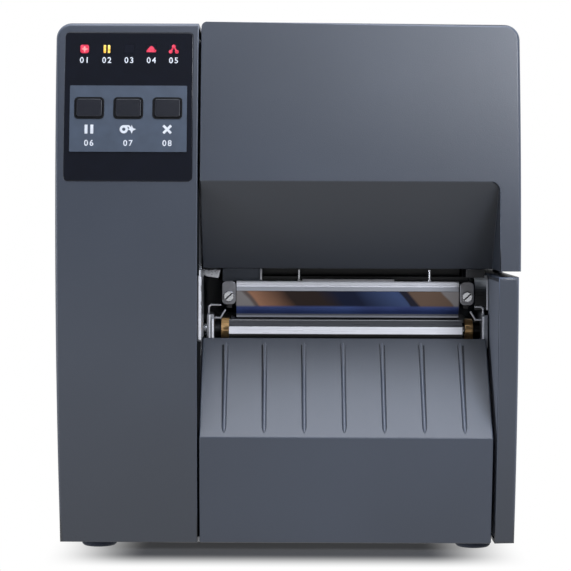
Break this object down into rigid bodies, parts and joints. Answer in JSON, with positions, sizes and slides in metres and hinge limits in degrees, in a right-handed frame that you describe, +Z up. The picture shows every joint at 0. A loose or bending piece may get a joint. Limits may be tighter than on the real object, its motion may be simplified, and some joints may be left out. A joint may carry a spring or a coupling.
{
  "type": "label printer",
  "caption": "Tabletop industrial label printer with a key panel, a bi-fold media door, a lifting print head over a belt-driven platen, ribbon spindles and a label roll hanger.",
  "frame": {"origin": "centre of the footprint on the table", "axes": "+X to the right, front faces -Y, +Z up"},
  "size_m": [0.242, 0.432, 0.277],
  "materials": {
    "housing": "fine moulded texture",
    "liner": "moulded",
    "overlay": "glossy film",
    "key_plate": "satin film",
    "keys": "satin",
    "lens": "lit lens",
    "board": "soldered board",
    "rubber": "moulded rubber",
    "sheet_steel": "zinc plated sheet",
    "zinc": "plated casting",
    "steel": "ground steel",
    "polished": "mirror polished",
    "aluminium": "extruded",
    "pulley": "turned",
    "bronze": "sintered",
    "black_plastic": "moulded",
    "touch_plastic": "moulded",
    "ceramic": "glazed line",
    "window": "smoked"
  },
  "bodies": {
    "chassis": {"base_pan": "sheet_steel", "rubber_feet": "rubber", "main_frame": "sheet_steel", "rear_panel": "housing", "rear_screws": "steel", "left_cover": "housing", "panel_overlay": "overlay", "key_plate": "key_plate", "indicator_lenses": "lens", "panel_board": "board", "front_bezel": "housing", "platen_bracket_left": "zinc", "mechanism_side_plate": "zinc", "platen_bushings": "bronze", "tear_bar": "steel", "guide_wires": "zinc", "head_pivot_shaft": "steel", "media_platform": "sheet_steel", "media_sensor": "black_plastic", "hanger_arm": "black_plastic", "drive_bracket": "sheet_steel", "stepper_motor": "black_plastic", "drive_belt": "rubber", "logic_board": "board", "power_supply": "sheet_steel", "rear_sockets": "black_plastic"},
    "upper_door": {"upper_door": "housing", "door_window": "window", "door_hinge_pins": "steel", "door_latch": "black_plastic", "fold_hinge_pins": "steel"},
    "lower_door": {"lower_door": "housing", "lower_door_liner": "liner"},
    "pause_key": {"pause_key": "keys"},
    "feed_key": {"feed_key": "keys"},
    "cancel_key": {"cancel_key": "keys"},
    "printhead": {"head_carrier": "zinc", "heat_sink": "aluminium", "print_line_strip": "ceramic", "strip_plate": "polished", "front_bar": "aluminium", "head_end_brackets": "zinc", "head_screws": "steel"},
    "head_latch": {"latch_shaft": "steel", "pressure_cams": "black_plastic", "head_lever": "touch_plastic"},
    "platen": {"platen_shaft": "steel", "platen_rubber": "rubber", "platen_pulley": "pulley"},
    "motor_rotor": {"motor_shaft": "steel", "motor_pulley": "pulley"},
    "take_up": {"take_up_spindle": "aluminium", "take_up_pulley": "pulley"},
    "supply": {"supply_spindle": "aluminium", "supply_clutch": "black_plastic"},
    "dancer": {"dancer_arm": "black_plastic", "dancer_roller": "aluminium"},
    "roll_guide": {"roll_guide": "touch_plastic"},
    "edge_guide": {"edge_guide": "touch_plastic"},
    "power_rocker": {"power_rocker": "black_plastic"}
  },
  "joints": [
    {"name": "door_swing", "type": "hinge", "parent": "chassis", "child": "upper_door", "pos_m": [-0.0423, 0, 0.274], "axis": [0, -1, 0], "range_deg": [0, 100]},
    {"name": "door_fold", "type": "hinge", "parent": "upper_door", "child": "lower_door", "pos_m": [0.1192, 0, 0.14585], "axis": [0, -1, 0], "range_deg": [0, 90]},
    {"name": "pause_key_press", "type": "slide", "parent": "chassis", "child": "pause_key", "axis": [0, 0.9922, -0.125], "range_m": [0, 0.0008], "stiffness_N_per_m": 400},
    {"name": "feed_key_press", "type": "slide", "parent": "chassis", "child": "feed_key", "axis": [0, 0.9922, -0.125], "range_m": [0, 0.0008], "stiffness_N_per_m": 400},
    {"name": "cancel_key_press", "type": "slide", "parent": "chassis", "child": "cancel_key", "axis": [0, 0.9922, -0.125], "range_m": [0, 0.0008], "stiffness_N_per_m": 400},
    {"name": "head_lift", "type": "hinge", "parent": "chassis", "child": "printhead", "pos_m": [0, -0.072, 0.152], "axis": [-1, 0, 0], "range_deg": [0, 20]},
    {"name": "lever_turn", "type": "hinge", "parent": "chassis", "child": "head_latch", "pos_m": [0, -0.1, 0.166], "axis": [1, 0, 0], "range_deg": [0, 90]},
    {"name": "platen_spin", "type": "hinge", "parent": "chassis", "child": "platen", "pos_m": [0, -0.152, 0.113], "axis": [1, 0, 0], "continuous": true},
    {"name": "motor_spin", "type": "hinge", "parent": "chassis", "child": "motor_rotor", "pos_m": [0, -0.12, 0.05], "axis": [1, 0, 0], "continuous": true},
    {"name": "take_up_spin", "type": "hinge", "parent": "chassis", "child": "take_up", "pos_m": [0, -0.092, 0.222], "axis": [1, 0, 0], "continuous": true},
    {"name": "supply_spin", "type": "hinge", "parent": "chassis", "child": "supply", "pos_m": [0, 0.005, 0.228], "axis": [1, 0, 0], "continuous": true},
    {"name": "dancer_swing", "type": "hinge", "parent": "chassis", "child": "dancer", "pos_m": [0, -0.038, 0.062], "axis": [1, 0, 0], "range_deg": [0, 24]},
    {"name": "roll_guide_slide", "type": "slide", "parent": "chassis", "child": "roll_guide", "axis": [1, 0, 0], "range_m": [-0.095, 0]},
    {"name": "edge_guide_slide", "type": "slide", "parent": "chassis", "child": "edge_guide", "axis": [1, 0, 0], "range_m": [-0.06, 0]},
    {"name": "power_rock", "type": "hinge", "parent": "chassis", "child": "power_rocker", "pos_m": [0, 0.209, 0.066], "axis": [1, 0, 0], "range_deg": [0, 16]}
  ],
  "couplings": [
    {"joint": "lever_turn", "follows": "head_lift", "ratio": 4.5},
    {"joint": "platen_spin", "follows": "take_up_spin", "ratio": 1.2857},
    {"joint": "motor_spin", "follows": "take_up_spin", "ratio": 2.25}
  ]
}
